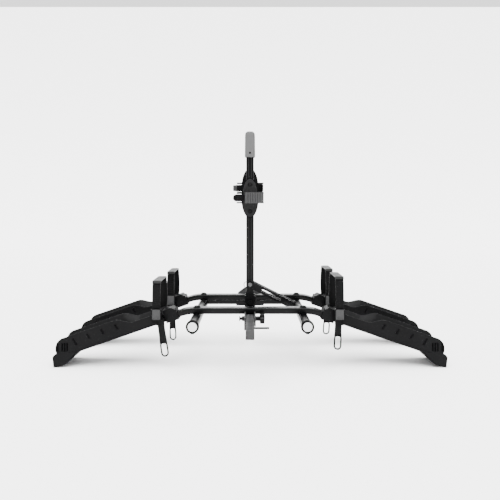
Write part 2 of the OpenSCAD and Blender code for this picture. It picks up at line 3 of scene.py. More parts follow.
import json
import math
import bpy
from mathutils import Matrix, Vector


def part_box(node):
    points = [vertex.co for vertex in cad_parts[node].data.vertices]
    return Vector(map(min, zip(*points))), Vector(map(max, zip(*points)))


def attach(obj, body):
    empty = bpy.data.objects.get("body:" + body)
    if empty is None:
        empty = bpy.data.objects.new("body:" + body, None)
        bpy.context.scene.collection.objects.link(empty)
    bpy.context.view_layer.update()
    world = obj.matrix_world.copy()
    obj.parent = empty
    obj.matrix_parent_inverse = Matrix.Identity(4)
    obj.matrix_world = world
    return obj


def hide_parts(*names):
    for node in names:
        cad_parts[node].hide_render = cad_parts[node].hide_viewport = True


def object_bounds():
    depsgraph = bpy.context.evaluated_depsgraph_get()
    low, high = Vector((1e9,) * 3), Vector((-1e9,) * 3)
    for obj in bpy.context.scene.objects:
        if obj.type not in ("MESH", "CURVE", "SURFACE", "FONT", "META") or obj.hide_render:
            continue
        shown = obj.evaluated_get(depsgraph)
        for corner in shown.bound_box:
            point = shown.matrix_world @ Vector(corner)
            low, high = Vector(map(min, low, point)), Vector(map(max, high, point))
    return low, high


bl_info = {
    "name": "Hitch Bike Rack",
    "version": (1, 0, 0),
    "blender": (4, 5, 0),
    "location": "View3D > Sidebar > Bike Rack",
    "description": "Builds the surfaces and finishes of a two-bike hitch rack",
    "category": "Add Mesh",
}

import bmesh
import bpy
import numpy as np
from bpy.props import FloatProperty, FloatVectorProperty, PointerProperty

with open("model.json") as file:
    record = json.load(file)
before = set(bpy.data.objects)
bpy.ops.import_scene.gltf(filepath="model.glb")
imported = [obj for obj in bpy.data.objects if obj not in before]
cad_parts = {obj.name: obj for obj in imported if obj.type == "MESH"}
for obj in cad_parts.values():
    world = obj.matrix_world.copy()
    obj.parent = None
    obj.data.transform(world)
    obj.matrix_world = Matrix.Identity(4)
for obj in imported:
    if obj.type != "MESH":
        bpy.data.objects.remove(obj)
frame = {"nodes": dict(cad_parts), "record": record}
cad_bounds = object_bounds()

CORNERS = ("front_left", "front_right", "rear_left", "rear_right")
MM = 0.001


# ---------- places on the frame ----------

def box_of(node):
    """A CAD node's lowest and highest corners as two arrays, in millimetres."""
    low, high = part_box(node)
    return np.array(low) / MM, np.array(high) / MM


def middle(node):
    """The middle of a CAD node's box."""
    low, high = box_of(node)
    return (low + high) / 2


def side_of(corner):
    """-1 for a left corner of the rack and 1 for a right one."""
    return -1 if corner.endswith("left") else 1


def cross_node(corner):
    """The cross tube that carries a corner's tray."""
    return "front_cross_tube" if corner.startswith("front") else "rear_cross_tube"


# ---------- mesh building ----------

def grid_faces(rows, cols, wrap_rows=False, wrap_cols=False):
    """Quads between neighbours of a grid whose points are numbered row by row."""
    index = np.arange(rows * cols).reshape(rows, cols)
    if wrap_rows:
        index = np.vstack([index, index[:1]])
    if wrap_cols:
        index = np.hstack([index, index[:, :1]])
    quads = [index[:-1, :-1], index[1:, :-1], index[1:, 1:], index[:-1, 1:]]
    return np.stack(quads, axis=-1).reshape(-1, 4).tolist()


class Shell:
    """Gathers grids into the points and faces of one mesh."""

    def __init__(self):
        self.points = []
        self.faces = []
        self.count = 0

    def add(self, points, faces):
        points = np.asarray(points, float).reshape(-1, 3)
        self.points.append(points)
        self.faces += [[i + self.count for i in face] for face in faces]
        self.count += len(points)

    def tube(self, rings, closed=False, caps=True):
        """A closed profile carried along a path: rings is an array (stations, profile points, 3).
        The two ends are closed with one face each unless the path itself is closed."""
        rows, cols = rings.shape[:2]
        faces = grid_faces(rows, cols, wrap_rows=closed, wrap_cols=True)
        if caps and not closed:
            faces.append(list(range(cols))[::-1])
            faces.append([(rows - 1) * cols + i for i in range(cols)])
        self.add(rings, faces)

    def sheet(self, points):
        """An open sheet over a grid of points (rows, columns, 3)."""
        rows, cols = points.shape[:2]
        self.add(points, grid_faces(rows, cols))


def sweep(profile, path, right, up):
    """Rings of a profile carried along a path: each point is the path's point plus the profile's
    first number along right and its second along up. profile is (n, 2), or (stations, n, 2)
    where it changes on the way."""
    profile = np.asarray(profile, float)
    if profile.ndim == 2:
        profile = np.broadcast_to(profile, (len(path),) + profile.shape)
    right = np.broadcast_to(right, path.shape)
    up = np.broadcast_to(up, path.shape)
    across = profile[..., 0, None] * right[:, None, :]
    along = profile[..., 1, None] * up[:, None, :]
    return path[:, None, :] + across + along


def arc(centre, radius, start, end, count):
    """Points on a circle's arc between two angles in degrees."""
    angle = np.radians(np.linspace(start, end, count))
    return np.stack([centre[0] + radius * np.cos(angle), centre[1] + radius * np.sin(angle)], axis=1)


def round_rect(width, height, radius, count=5):
    """A rectangle centred on zero with its four corners rounded to quarter circles."""
    x = width / 2 - radius
    y = height / 2 - radius
    quarters = [((x, y), 0), ((-x, y), 90), ((-x, -y), 180), ((x, -y), 270)]
    return np.vstack([arc(c, radius, a, a + 90, count) for c, a in quarters])


def round_corners(corners, radii, count=5, edge=1):
    """A path through corner points with each inner corner eased by a quadratic curve, whose ends
    lie radius away along the two edges. corners is (..., K, 2), so a whole family of paths is
    worked out at once. edge is how many points each straight stretch gets."""
    corners = np.asarray(corners, float)
    t = np.linspace(0, 1, count)[:, None]
    s = np.linspace(0, 1, edge + 2)[1:-1, None]
    last = corners.shape[-2] - 1
    parts = [corners[..., :1, :]]
    here = corners[..., 0, :]
    for k in range(1, last + 1):
        corner = corners[..., k, :]
        if k < last:
            into = corner - corners[..., k - 1, :]
            out = corners[..., k + 1, :] - corner
            length_in = np.linalg.norm(into, axis=-1, keepdims=True)
            length_out = np.linalg.norm(out, axis=-1, keepdims=True)
            reach = np.minimum(radii[k - 1], 0.48 * np.minimum(length_in, length_out))
            start = corner - into / length_in * reach
            end = corner + out / length_out * reach
        else:
            start = end = corner
        parts.append(here[..., None, :] * (1 - s) + start[..., None, :] * s)
        if k < last:
            curve = start[..., None, :] * (1 - t) ** 2 + corner[..., None, :] * 2 * t * (1 - t)
            parts.append(curve + end[..., None, :] * t ** 2)
        else:
            parts.append(corner[..., None, :])
        here = end
    return np.concatenate(parts, axis=-2)


def round_loop(corners, radius, count=5):
    """A closed outline with every corner eased by a quadratic curve."""
    corners = np.asarray(corners, float)
    t = np.linspace(0, 1, count)[None, :, None]
    into = corners - np.roll(corners, 1, axis=0)
    out = np.roll(corners, -1, axis=0) - corners
    length_in = np.linalg.norm(into, axis=1, keepdims=True)
    length_out = np.linalg.norm(out, axis=1, keepdims=True)
    reach = np.minimum(radius, 0.45 * np.minimum(length_in, length_out))
    start = (corners - into / length_in * reach)[:, None, :]
    end = (corners + out / length_out * reach)[:, None, :]
    curve = start * (1 - t) ** 2 + corners[:, None, :] * 2 * t * (1 - t) + end * t ** 2
    return curve.reshape(-1, 2)


def inset(outline, distance):
    """A closed outline moved inward: each point goes along the mean of its two edges' normals."""
    x, y = outline[:, 0], outline[:, 1]
    area = np.sum(x * np.roll(y, -1) - y * np.roll(x, -1))
    edge = np.roll(outline, -1, axis=0) - outline
    edge = edge / np.maximum(np.linalg.norm(edge, axis=1, keepdims=True), 1e-9)
    normal = np.stack([-edge[:, 1], edge[:, 0]], axis=1) * np.sign(area)
    mean = normal + np.roll(normal, 1, axis=0)
    mean = mean / np.maximum(np.linalg.norm(mean, axis=1, keepdims=True), 1e-9)
    return outline + mean * distance


def slab_rings(outline, low, high, radius, steps=4):
    """A solid of one outline between two heights, its rims rounded: each ring is the outline
    moved in by the radius times one minus the sine of a quarter turn's angle. Returns the
    outline's two numbers and the height, as (rings, points, 3)."""
    angle = np.linspace(0, math.pi / 2, steps)
    ins = radius * (1 - np.sin(angle))
    rise = radius * (1 - np.cos(angle))
    heights = np.concatenate([low + rise, (high - rise)[::-1]])
    insets = np.concatenate([ins, ins[::-1]])
    rings = []
    for height, amount in zip(heights, insets):
        ring = inset(outline, amount)
        rings.append(np.column_stack([ring, np.full(len(ring), height)]))
    return np.stack(rings)


def lathe_rings(profile, centre, axis, count=48):
    """A profile of (radius, distance) pairs turned about an axis through centre, as rings."""
    angle = np.linspace(0, 2 * math.pi, count, endpoint=False)
    axis = np.array(axis, float)
    side = np.array([0.0, 0.0, 1.0]) if abs(axis[2]) < 0.9 else np.array([1.0, 0.0, 0.0])
    first = np.cross(axis, side)
    first /= np.linalg.norm(first)
    second = np.cross(axis, first)
    profile = np.asarray(profile, float)
    turn = np.cos(angle)[:, None] * first + np.sin(angle)[:, None] * second
    return np.asarray(centre) + profile[:, 0, None, None] * turn[None] + profile[:, 1, None, None] * axis


def finish_mesh(name, shell, material, sharp=35.0):
    """Turns the gathered points, in millimetres, and faces into an object, with normals outward,
    smooth shading, and creases kept where faces meet at more than an angle in degrees."""
    mesh = bpy.data.meshes.new(name)
    mesh.from_pydata((np.vstack(shell.points) * MM).tolist(), [], shell.faces)
    build = bmesh.new()
    build.from_mesh(mesh)
    bmesh.ops.recalc_face_normals(build, faces=build.faces)
    build.to_mesh(mesh)
    build.free()
    mesh.polygons.foreach_set("use_smooth", np.ones(len(mesh.polygons), bool))
    mesh.set_sharp_from_angle(angle=math.radians(sharp))
    mesh.materials.append(material)
    made = bpy.data.objects.new(name, mesh)
    bpy.context.scene.collection.objects.link(made)
    return made


def add_piece(name, shell, body, slot, *nodes, sharp=35.0, finish=None):
    """Makes a shell into an object in its record slot's finish, or in another one. It rides on a
    body and stands for CAD nodes."""
    piece = finish_mesh(name, shell, FINISHES[finish or slot], sharp)
    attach(piece, body)
    if nodes:
        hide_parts(*nodes)
    return piece


# ---------- materials ----------

def noise(tree, where, scale, detail=3.0, rough=0.55):
    """A noise texture on a vector output, and its value output."""
    made = tree.nodes.new("ShaderNodeTexNoise")
    made.inputs["Scale"].default_value = scale
    made.inputs["Detail"].default_value = detail
    made.inputs["Roughness"].default_value = rough
    tree.links.new(where, made.inputs["Vector"])
    return made.outputs["Fac"]


def remap(tree, value, low, high, to_low, to_high):
    """A value stretched from one range to another and held inside it."""
    made = tree.nodes.new("ShaderNodeMapRange")
    for key, number in (("From Min", low), ("From Max", high), ("To Min", to_low), ("To Max", to_high)):
        made.inputs[key].default_value = number
    tree.links.new(value, made.inputs["Value"])
    return made.outputs["Result"]


def mix_colour(tree, amount, first, second):
    """Two colours mixed by a value output."""
    made = tree.nodes.new("ShaderNodeMix")
    made.data_type = "RGBA"
    made.inputs["A"].default_value = (*first, 1)
    made.inputs["B"].default_value = (*second, 1)
    tree.links.new(amount, made.inputs["Factor"])
    return made.outputs["Result"]


def surface(name, colour, rough=(0.35, 0.5), metal=0.0, grain=900.0, bump=0.1, depth=0.0002,
            vary=0.35, wear=0.12, coat=0.03, specular=0.03, cell=0.0):
    """One finish: a base colour that drifts lighter and darker over large and small noise, pale
    rubbed flecks, roughness between two values, and a fine grain or cell pattern as bump, all on
    Object coordinates in metres."""
    made = bpy.data.materials.new(name)
    made.use_nodes = True
    tree = made.node_tree
    shader = tree.nodes["Principled BSDF"]
    where = tree.nodes.new("ShaderNodeTexCoord").outputs["Object"]
    colour = np.array(colour)
    broad = noise(tree, where, 7.0, 4.0)
    fine = noise(tree, where, 160.0, 3.0)
    drift = tree.nodes.new("ShaderNodeMath")
    drift.operation = "ADD"
    tree.links.new(remap(tree, broad, 0.3, 0.7, 0.0, 0.7), drift.inputs[0])
    tree.links.new(remap(tree, fine, 0.3, 0.7, 0.0, 0.3), drift.inputs[1])
    base = mix_colour(tree, drift.outputs[0], colour * (1 - vary), colour * (1 + vary))
    rubbed = remap(tree, noise(tree, where, 45.0, 6.0, 0.7), 0.62, 0.75, 0.0, wear)
    worn = tree.nodes.new("ShaderNodeMix")
    worn.data_type = "RGBA"
    worn.inputs["B"].default_value = (*np.minimum(colour * 2.2 + 0.03, 1), 1)
    tree.links.new(base, worn.inputs["A"])
    tree.links.new(rubbed, worn.inputs["Factor"])
    tree.links.new(worn.outputs["Result"], shader.inputs["Base Color"])
    gloss = remap(tree, noise(tree, where, 22.0, 5.0), 0.3, 0.7, *rough)
    tree.links.new(gloss, shader.inputs["Roughness"])
    if cell:
        cells = tree.nodes.new("ShaderNodeTexVoronoi")
        cells.inputs["Scale"].default_value = cell
        tree.links.new(where, cells.inputs["Vector"])
        height = cells.outputs["Distance"]
    else:
        height = noise(tree, where, grain, 2.0)
    dent = tree.nodes.new("ShaderNodeBump")
    dent.inputs["Strength"].default_value = bump
    dent.inputs["Distance"].default_value = depth
    tree.links.new(height, dent.inputs["Height"])
    tree.links.new(dent.outputs["Normal"], shader.inputs["Normal"])
    shader.inputs["Metallic"].default_value = metal
    shader.inputs["Specular IOR Level"].default_value = specular
    shader.inputs["Coat Weight"].default_value = coat
    shader.inputs["Coat Roughness"].default_value = 0.18
    return made


FINISHES = {}


def make_finishes(look):
    """Every finish of the rack, kept by the record slot it stands for."""
    black = np.array(look.powder_coat)
    plastic = np.array(look.moulding)
    grey = np.array(look.grey_parts)
    FINISHES.update(
        black_steel=surface("black_powder_coat", black, (0.24, 0.38), grain=1400, bump=0.22,
                            depth=0.0003, wear=0.08, coat=0.09),
        # This grey paints the hitch tube and also the mast's strips, which are a painted highlight.
        grey_steel=surface("grey_powder_coat_and_highlight_paint", look.hitch_and_highlight_grey, (0.4, 0.55), grain=1500, bump=0.25,
                           depth=0.0003, wear=0.15, vary=0.18),
        dark_steel=surface("blackened_steel", (0.003, 0.003, 0.0031), (0.28, 0.45), coat=0.06, grain=700,
                           bump=0.12, wear=0.3),
        zinc_steel=surface("zinc_plated_steel", (0.07, 0.07, 0.071), (0.25, 0.42), metal=0.95, grain=500,
                           bump=0.08, vary=0.15, wear=0.1),
        tray_plastic=surface("tray_moulding", plastic, (0.42, 0.58), grain=2200, bump=0.35,
                             depth=0.00025, wear=0.1, vary=0.25),
        black_plastic=surface("black_moulding", plastic * 0.7, (0.36, 0.5), grain=2000, bump=0.25,
                              wear=0.08),
        knob_plastic=surface("knob_moulding", plastic * 0.6, (0.22, 0.34), grain=1800, bump=0.1,
                             wear=0.06, coat=0.08),
        grey_plastic=surface("grey_moulding", grey, (0.42, 0.55), grain=1800, bump=0.3, depth=0.0003,
                             vary=0.12, wear=0.15),
        pale_disc=surface("pale_dimpled_disc", look.disc, (0.4, 0.5), bump=0.6, depth=0.0006, vary=0.05,
                          wear=0.04, cell=260.0),
        grey_rubber=surface("pad_rubber", np.array(look.pad), (0.55, 0.7), bump=0.9, depth=0.0008,
                            vary=0.25, wear=0.2, cell=330.0),
        strap_rubber=surface("strap_rubber", plastic * 0.9, (0.38, 0.55), grain=1500, bump=0.2,
                             wear=0.12),
        strap_cap=surface("strap_cap_rubber", look.cap, (0.4, 0.5), grain=1200, bump=0.3, vary=0.12,
                          wear=0.15),
        grip_foam=surface("grip_foam", look.grip, (0.75, 0.9), bump=0.7, depth=0.0007, vary=0.08,
                          wear=0.15, cell=520.0),
    )


def coat_cad_nodes():
    """Every carried-over CAD node gets its finish in place of the plain packed colour."""
    slots = {part["node"]: part["material_slot"] for part in frame["record"]["subparts"]}
    for node, thing in frame["nodes"].items():
        thing.data.materials.clear()
        thing.data.materials.append(FINISHES[slots[node]])


# ---------- settings ----------

def colour(name, text, value):
    """A colour setting for the sidebar."""
    return FloatVectorProperty(name=name, description=text, subtype="COLOR", default=value,
                               min=0, max=1)


def length(name, text, value):
    """A length setting for the sidebar, in metres."""
    return FloatProperty(name=name, description=text, subtype="DISTANCE", unit="LENGTH",
                         default=value)


class RackLook(bpy.types.PropertyGroup):
    """Colours of the rack's finishes."""

    powder_coat: colour("Powder coat", "Black paint on the steel tubes", (0.0016, 0.0016, 0.0017))
    moulding: colour("Moulding", "Black plastic of the wheel trays", (0.0032, 0.0032, 0.0034))
    grey_parts: colour("Grey parts", "Grey plastic of levers and buckles", (0.036, 0.036, 0.0365))
    # This grey is the hitch tube's paint and also the painted highlight strips on the mast.
    hitch_and_highlight_grey: colour("Hitch grey", "Grey paint on the hitch tube", (0.0125, 0.0125, 0.0128))
    disc: colour("Disc", "Pale discs in the side rails' ends", (0.66, 0.66, 0.67))
    pad: colour("Pad", "Rubber pads of the frame clamps", (0.012, 0.012, 0.0122))
    cap: colour("Strap cap", "Rubber caps on the wheel straps", (0.017, 0.017, 0.0172))
    grip: colour("Grip", "Foam of the handle's grip", (0.078, 0.078, 0.0785))


class RackSizes(bpy.types.PropertyGroup):
    """Sizes of the surfaces that the frame's boxes don't give."""

    arm_slope: FloatProperty(name="Arm slope", description="Slope of the tray arms below the level",
                             subtype="ANGLE", default=math.radians(19))
    level_half: length("Level half", "Half the cross tube's level middle", 0.264)
    tube_corner: length("Tube corner", "Rounding of the square tubes' edges", 0.0045)
    bend_radius: length("Bend radius", "Radius of the cross tubes' bends", 0.09)
    tray_wall: length("Tray wall", "Thickness of the moulded trays", 0.003)


class RackStage(bpy.types.PropertyGroup):
    """Where the camera stands and how bright the studio is."""

    camera_back: length("Camera back", "From the mast to the camera", 2.356)
    camera_up: length("Camera height", "Height of the camera above the floor", 0.660)
    framing: FloatProperty(name="Framing", description="Vertical lens shift that frames the whole rack",
                           default=-0.088)
    lens: FloatProperty(name="Lens", description="Focal length in millimetres on a 36 mm sensor",
                        default=37.4)


# ---------- operators ----------

class RACK_OT_finishes(bpy.types.Operator):
    """Make the finishes and put them on the CAD nodes"""

    bl_idname = "rack.finishes"
    bl_label = "Finishes"

    def execute(self, context):
        make_finishes(context.scene.rack_look)
        coat_cad_nodes()
        return {"FINISHED"}


class RACK_OT_stage(bpy.types.Operator):
    """Lay the floor and set the lights and the camera"""

    bl_idname = "rack.stage"
    bl_label = "Stage"

    def execute(self, context):
        stage = context.scene.rack_stage
        floor_z = cad_bounds[0][2]
        self.floor(floor_z)
        self.lights()
        mast = middle("mast_tube")
        camera = bpy.data.cameras.new("camera")
        camera.lens = stage.lens
        camera.sensor_width = 36.0
        camera.shift_y = stage.framing
        camera.clip_end = 50.0
        holder = bpy.data.objects.new("camera", camera)
        holder.location = (0.0, mast[1] * MM - stage.camera_back, floor_z + stage.camera_up)
        holder.rotation_euler = (math.pi / 2, 0.0, 0.0)
        context.scene.collection.objects.link(holder)
        context.scene.camera = holder
        return {"FINISHED"}

    def floor(self, floor_z):
        """A pale sheet that runs level under the rack and rises far behind it: the height grows
        as the square of the distance past six metres."""
        x = np.linspace(-14, 14, 3)
        y = np.concatenate([[-14.0], np.linspace(6, 12, 25), [16.0]])
        rise = np.clip((y - 6) / 6, 0, 1) ** 2 * 6
        grid_x, grid_y = np.meshgrid(x, y)
        grid_z = np.broadcast_to(rise[:, None], grid_x.shape) + floor_z
        shell = Shell()
        shell.sheet(np.stack([grid_x, grid_y, grid_z], axis=-1) / MM)
        pale = bpy.data.materials.new("pale_floor")
        pale.use_nodes = True
        shader = pale.node_tree.nodes["Principled BSDF"]
        shader.inputs["Base Color"].default_value = (0.93, 0.93, 0.93, 1)
        shader.inputs["Roughness"].default_value = 0.9
        shader.inputs["Specular IOR Level"].default_value = 0.1
        finish_mesh("floor", shell, pale)

    def lights(self):
        """A white room and one broad, even light from above."""
        world = bpy.data.worlds.new("studio")
        world.use_nodes = True
        world.node_tree.nodes["Background"].inputs["Color"].default_value = (1, 1, 1, 1)
        world.node_tree.nodes["Background"].inputs["Strength"].default_value = 1.8
        bpy.context.scene.world = world
        sky = bpy.data.lights.new("sky", "SUN")
        sky.energy = 12.0
        sky.angle = math.radians(70)
        lamp = bpy.data.objects.new("sky", sky)
        lamp.rotation_euler = (math.radians(14), 0.0, 0.0)
        bpy.context.scene.collection.objects.link(lamp)


# ---------- cross tubes, hitch tube and mast ----------

def make_cross_tube(corner, sizes):
    """One cross tube: a rounded box section carried along a level middle and two sloping arms,
    with each bend eased by a quadratic curve. It is left solid inside."""
    node = cross_node(corner)
    low, high = box_of(node)
    y = (low[1] + high[1]) / 2
    width = high[1] - low[1]
    slope = sizes.arm_slope
    level = sizes.level_half / MM
    depth = 25.0
    reach = (high[0] - level) / math.cos(slope)
    middle_z = high[2] - depth / 2
    bend = level - depth / 2 * math.tan(slope / 2)
    end = (high[0] - depth / 2 * math.sin(slope), middle_z - reach * math.sin(slope))
    corners = [(-end[0], end[1]), (-bend, middle_z), (bend, middle_z), end]
    path = round_corners(corners, [sizes.bend_radius / MM * 0.35] * 2, count=9, edge=6)
    ahead = np.gradient(path, axis=0)
    ahead /= np.linalg.norm(ahead, axis=1, keepdims=True)
    up = np.column_stack([-ahead[:, 1], np.zeros(len(path)), ahead[:, 0]])
    line = np.column_stack([path[:, 0], np.full(len(path), y), path[:, 1]])
    section = round_rect(width, depth, sizes.tube_corner / MM, 6)
    shell = Shell()
    shell.tube(sweep(section, line, (0, 1, 0), up))
    add_piece(node + "_surface", shell, "platform", "black_steel", node)


def make_stinger(sizes):
    """The hitch tube: its side outline, round at the pivot, between its two sides, with eased
    long edges, and its end plug as a slab with a smaller panel standing proud of it."""
    low, high = box_of("stinger_tube")
    half = (high[0] - low[0]) / 2
    pivot_y = high[1] - half
    edge = np.array([(low[1], -half), (low[1] + 40, -half), (low[1] + 150, -half)])
    outline = np.vstack([edge, arc((pivot_y, 0), half, -85, 85, 24), edge[::-1] * (1, -1)])
    rings = slab_rings(outline, -half, half, sizes.tube_corner / MM * 0.75, 6)
    shell = Shell()
    shell.tube(rings[..., [2, 0, 1]])
    add_piece("stinger_tube_surface", shell, "hitch", "grey_steel", "stinger_tube")
    plug_front = box_of("stinger_plug")[0][1]
    size = 2 * half
    shell = Shell()
    for shrink, front, back, ease in ((0.0, 0.7, -0.1, 0.9), (9.0, 0.0, 12.0, 0.4)):
        face = slab_rings(round_rect(size - shrink, size - shrink, 3.0, 6), plug_front + front,
                          low[1] + back, ease, 4)
        shell.tube(face[..., [0, 2, 1]])
    add_piece("stinger_plug_surface", shell, "hitch", "grey_plastic", "stinger_plug")


def make_mast():
    """The mast tube: a rounded square section with a shallow groove down the middle of its front
    and rear faces, the groove's depth a cosine bell of the distance from the middle line, and
    two low grey strips along each of those faces, a painted highlight for the light reflected along the
    tube."""
    low, high = box_of("mast_tube")
    width = high[0] - low[0]
    centre = (low + high) / 2
    corner, groove_half, groove_deep, highlight_strip_x = 6.5, 4, 1.6, 6.5
    section = round_rect(width, width, corner, 7)
    face = np.linspace(-width / 2 + corner, width / 2 - corner, 17)[1:-1]
    bell = np.where(np.abs(face) < groove_half,
                    groove_deep * (1 + np.cos(np.pi * face / groove_half)) / 2, 0)
    rear = np.column_stack([face[::-1], width / 2 - bell])
    front = np.column_stack([face, -width / 2 + bell])
    section = np.vstack([section[:7], rear, section[7:21], front, section[21:]])
    heights = np.concatenate([[low[2], low[2] + 0.8], np.linspace(low[2] + 20, high[2] - 20, 8),
                              [high[2] - 0.8, high[2]]])
    grow = np.ones(len(heights))
    grow[[0, -1]] = 1 - 1.2 / width
    rings = np.stack([np.column_stack([centre[0] + section[:, 0] * g, centre[1] + section[:, 1] * g,
                                       np.full(len(section), h)]) for h, g in zip(heights, grow)])
    shell = Shell()
    shell.tube(rings)
    add_piece("mast_tube_surface", shell, "mast", "black_steel", "mast_tube", sharp=50)
    # Painted highlight: two low grey strips on the front and rear faces stand in for the lines of
    # reflected light along the black tube.
    shell = Shell()
    for way in (-1, 1):
        for x in (-highlight_strip_x, highlight_strip_x):
            strip = slab_rings(round_rect(2.6, high[2] - low[2] - 120, 1.0, 4), 0.0, 0.9, 0.5, 4)
            points = strip[..., [0, 2, 1]]
            points[..., 1] = centre[1] + way * (width / 2 - 0.3 + points[..., 1])
            shell.tube(points + (x, 0, centre[2] + 55))
    add_piece("mast_painted_highlight_strips", shell, "mast", "grey_steel")


def make_grip():
    """The foam grip: its section is a superellipse of power three, whose half width falls evenly
    from the lower end to the top. In the dome the height follows the sine of a quarter turn's
    angle, and the half width its cosine to the power 0.55."""
    low, high = box_of("handle_grip")
    half = (high[0] - low[0]) / 2
    centre = (low + high) / 2
    length = high[2] - low[2]
    dome = np.linspace(0, 1, 14)
    heights = np.concatenate([[low[2], low[2] + 1.2, low[2] + 3.5],
                              np.linspace(low[2] + 10, high[2] - half * 0.8, 12),
                              high[2] - half * 0.8 * (1 - np.sin(dome[1:] * np.pi / 2))])
    swell = 1.03 - 0.05 * np.clip((heights - low[2]) / length, 0, 1)
    close = np.ones(len(heights))
    close[-13:] = np.maximum(np.cos(dome[1:] * np.pi / 2), 0.02) ** 0.55
    close[:2] = (0.9, 0.97)
    angle = np.linspace(0, 2 * np.pi, 56, endpoint=False)
    power = 2 / 3.0
    unit = np.column_stack([np.sign(np.cos(angle)) * np.abs(np.cos(angle)) ** power,
                            np.sign(np.sin(angle)) * np.abs(np.sin(angle)) ** power])
    depth = (high[1] - low[1]) / 2
    rings = np.stack([np.column_stack([centre[0] + unit[:, 0] * half * s * c,
                                       centre[1] + unit[:, 1] * depth * s * c,
                                       np.full(56, h)]) for h, s, c in zip(heights, swell, close)])
    shell = Shell()
    shell.tube(rings)
    grip = add_piece("handle_grip_surface", shell, "mast", "grip_foam", "handle_grip")
    shell = Shell()
    bolt_z = low[2] + 19
    front = centre[1] - depth * 0.985
    shell.tube(lathe_rings([(0.2, -2.2), (3.2, -2.0), (4.6, -1.0), (5.2, 0.6), (5.2, 3), (0.2, 3)],
                           (centre[0], front, bolt_z), (0, 1, 0), 32))
    add_piece("grip_bolt", shell, "mast", "dark_steel")


class RACK_OT_tubes(bpy.types.Operator):
    """Make the cross tubes, the hitch tube, the mast tube and its grip"""

    bl_idname = "rack.tubes"
    bl_label = "Tubes"

    def execute(self, context):
        sizes = context.scene.rack_sizes
        make_cross_tube("front", sizes)
        make_cross_tube("rear", sizes)
        make_stinger(sizes)
        make_mast()
        make_grip()
        return {"FINISHED"}


# ---------- trays and feet ----------

class Arm:
    """A tray arm's own frame: u outward along it, v across the tray and w up from its top."""

    def __init__(self, corner, sizes):
        low, high = box_of(cross_node(corner))
        self.side = side_of(corner)
        self.y = (low[1] + high[1]) / 2
        self.origin = np.array([self.side * sizes.level_half / MM, self.y, high[2]])
        slope = sizes.arm_slope
        self.along = np.array([self.side * math.cos(slope), 0.0, -math.sin(slope)])
        self.up = np.array([self.side * math.sin(slope), 0.0, math.cos(slope)])
        self.across = np.array([0.0, 1.0, 0.0])

    def world(self, u, v, w):
        """World points from the arm's three numbers, given as arrays of one shape."""
        u, v, w = np.broadcast_arrays(u, v, w)
        return (self.origin + u[..., None] * self.along + v[..., None] * self.across
                + w[..., None] * self.up)


TRAY_IN, TRAY_OUT, SKIRT, CREST, LOW_WALL = 98.0, 556.0, 17.0, 56.0, 25.0


def wall_top(u):
    """The tray wall's height along the arm: low beside the strap, a smooth cosine rise to the
    crest, then a quarter circle down at the outer end."""
    rise = np.clip((u - 215) / 75, 0, 1)
    top = LOW_WALL + (CREST - LOW_WALL) * (1 - np.cos(np.pi * rise)) / 2
    back = np.clip(u - (TRAY_OUT - 44), 0, 43.4)
    return np.where(back > 0, CREST - 44 + np.sqrt(44.0 ** 2 - back ** 2), top)


def soft_box(a, b, half_a, half_b, soft):
    """One inside a rectangle about zero and nothing outside it, with a smooth edge."""
    def edge(value, half):
        t = np.clip((half - np.abs(value)) / soft + 0.5, 0, 1)
        return t * t * (3 - 2 * t)
    return edge(a, half_a) * edge(b, half_b)


def wall_dents(u, w):
    """How far the outer wall is pressed in: four leaning slots along the wall and four upright
    flutes near the outer end, each a smooth-edged rectangle."""
    depth = np.zeros(np.broadcast(u, w).shape)
    for k in range(4):
        middle_u, middle_w = 289 + 60 * k, 29 - 2.5 * (k == 3)
        lean = math.radians(12)
        a = (u - middle_u) * math.cos(lean) - (w - middle_w) * math.sin(lean)
        b = (u - middle_u) * math.sin(lean) + (w - middle_w) * math.cos(lean)
        depth = np.maximum(depth, 5.5 * soft_box(a, b, 3.6, 11 if k < 3 else 15, 2.5))
    lean = math.radians(19)
    for step, half_a in ((0, 3.4), (18, 2.3), (28, 2.3), (38, 2.1)):
        du = u - (542 - step * math.cos(lean))
        dw = w - (27.5 - step * math.sin(lean))
        a = du * math.cos(lean) + dw * math.sin(lean)
        b = dw * math.cos(lean) - du * math.sin(lean)
        depth = np.maximum(depth, 7.0 * soft_box(a, b, half_a, 18, 2.0))
    return depth


def tray_section(u, half):
    """Half of the tray's section at each station: up the outer wall, over a rounded rim, down
    the inner slope and in along the ribbed channel floor. Near the outer end a smooth step
    lifts the inside to the wall's top. Returns v and w, stations by points."""
    top = wall_top(u)[:, None]
    wall_w = -SKIRT + (top - 2.6 + SKIRT) * np.linspace(0, 1, 34)[None]
    line = soft_box(wall_w + SKIRT - 8, u[:, None] * 0, 1.1, 9, 1.6)
    wall_v = half - wall_dents(u[:, None], wall_w) - 1.2 * line
    angle = np.radians(np.linspace(18, 162, 8))[None]
    rim_v = half - 2.6 + 2.6 * np.cos(angle) + 0 * top
    rim_w = top - 2.6 + 2.6 * np.sin(angle)
    t = np.linspace(0.04, 1, 14)[None]
    start_v, start_w = half - 6.0, top - 2.4
    floor = 3.0
    end_v = 38.0
    slope_v = start_v + (end_v - start_v) * t + 0 * top
    slope_w = start_w + (floor - start_w) * t + 1.8 * np.sin(np.pi * t) ** 2 * (top > 30)
    ribs = 0.9 * (np.abs(((u - TRAY_IN) % 24.0) - 12.0) < 2.2)[:, None]
    floor_v = np.linspace(34, 0, 8)[None] + 0 * top
    floor_w = floor + ribs * (floor_v < 30)
    v = np.concatenate([wall_v, rim_v, slope_v, floor_v], axis=1)
    w = np.concatenate([wall_w, rim_w, slope_w, floor_w], axis=1)
    ramp = np.clip((u - 534) / 14, 0, 1)[:, None]
    ramp = ramp * ramp * (3 - 2 * ramp)
    inside = wall_w.shape[1] + rim_w.shape[1]
    w[:, inside:] += (np.maximum(top - 1.0, w[:, inside:]) - w[:, inside:]) * ramp
    return v, w


